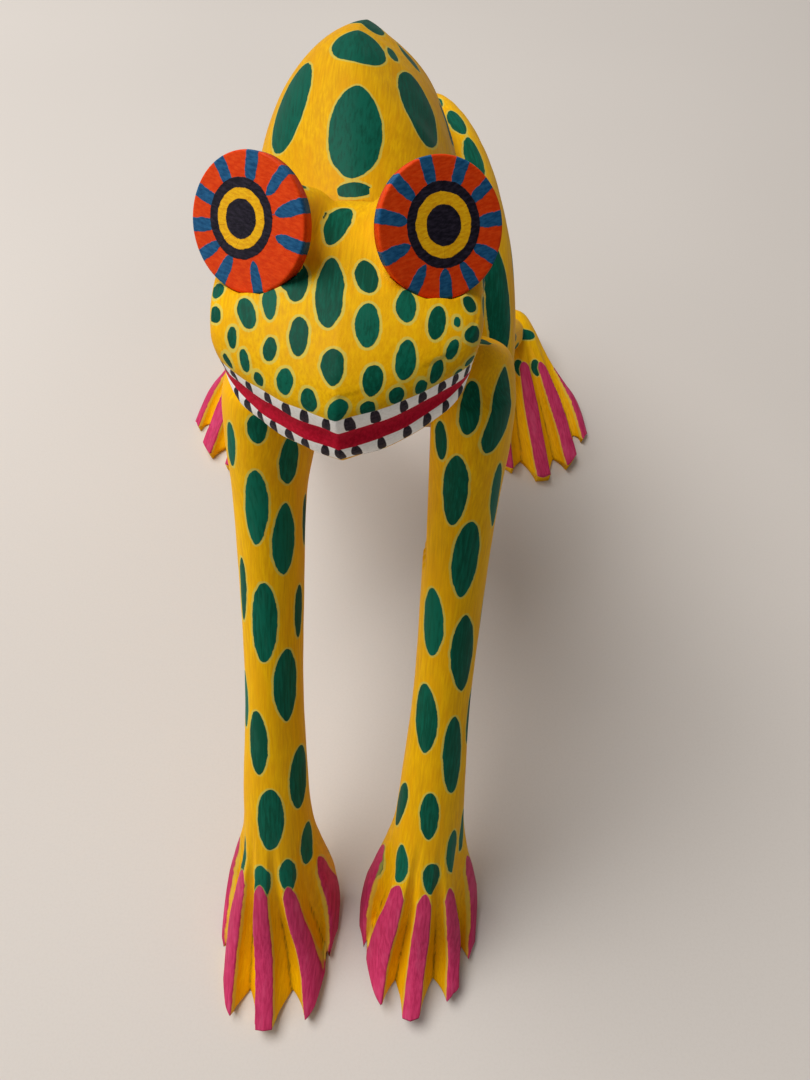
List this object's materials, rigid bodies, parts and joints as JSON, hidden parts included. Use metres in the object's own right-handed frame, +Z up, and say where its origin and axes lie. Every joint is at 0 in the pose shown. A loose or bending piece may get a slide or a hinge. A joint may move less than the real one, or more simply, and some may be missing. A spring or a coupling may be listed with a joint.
{
  "type": "carved frog figure",
  "caption": "Carved and painted wooden frog with long straight front legs, folded hind legs, a humped back, flared stalk eyes ending in flat discs, and ridged webbed feet.",
  "frame": {"origin": "middle of the bounding box, on the floor plane that the four feet stand on", "axes": "+Z up, the frog faces -Y, +X is on the right of someone who faces the frog's snout"},
  "size_m": [0.252, 0.4186, 0.2924],
  "materials": {
    "painted_wood": "satin acrylic paint, yellow with green spots and pink toes",
    "painted_eye": "satin acrylic paint, orange disc with blue rays and black and yellow rings",
    "bare_wood": "plain unpainted dowel"
  },
  "bodies": {
    "root": {"torso": "painted_wood", "head": "painted_wood", "left_eye": "painted_eye", "right_eye": "painted_eye", "left_front_leg": "painted_wood", "right_front_leg": "painted_wood", "left_hind_leg": "painted_wood", "right_hind_leg": "painted_wood", "neck_dowel": "bare_wood", "left_shoulder_dowel": "bare_wood", "right_shoulder_dowel": "bare_wood", "left_hip_dowel": "bare_wood", "right_hip_dowel": "bare_wood"}
  },
  "joints": []
}
